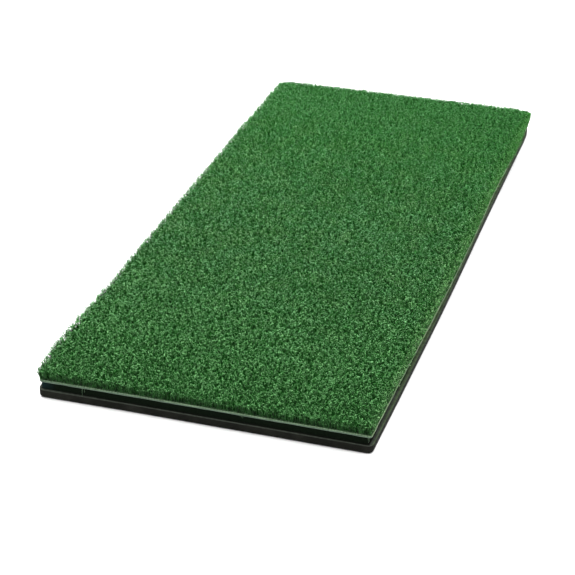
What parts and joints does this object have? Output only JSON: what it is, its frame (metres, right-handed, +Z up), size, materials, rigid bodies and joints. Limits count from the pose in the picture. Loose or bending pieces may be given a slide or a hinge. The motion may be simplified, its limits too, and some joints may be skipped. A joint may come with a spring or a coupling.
{
  "type": "golf hitting mat",
  "caption": "Narrow rectangular golf hitting strip: dense green nylon pile on a woven backing, bonded to a black foam pad and a dark rubber base with rounded corners.",
  "frame": {"origin": "middle of the rubber base's underside, on the floor plane", "axes": "+Y along the mat's length, +X across its width, +Z up through the pile"},
  "size_m": [0.308, 0.714, 0.0295],
  "materials": {
    "base_rubber": "dull moulded rubber, fine grain, slightly scuffed on the edges",
    "foam": "matte cut closed-cell foam",
    "bond_film": "thin translucent adhesive film",
    "backing_coat": "cast urethane coat, satin, grey",
    "woven_backing": "flat woven tape yarn, cut edge",
    "pile_yarn": "crimped nylon yarn, semi-matte, mixed greens"
  },
  "bodies": {
    "root": {"rubber_base": "base_rubber", "lower_bond_film": "bond_film", "foam_pad": "foam", "upper_bond_film": "bond_film", "turf_backing_coat": "backing_coat", "turf_primary_backing": "woven_backing", "turf_pile": "pile_yarn"}
  },
  "joints": []
}
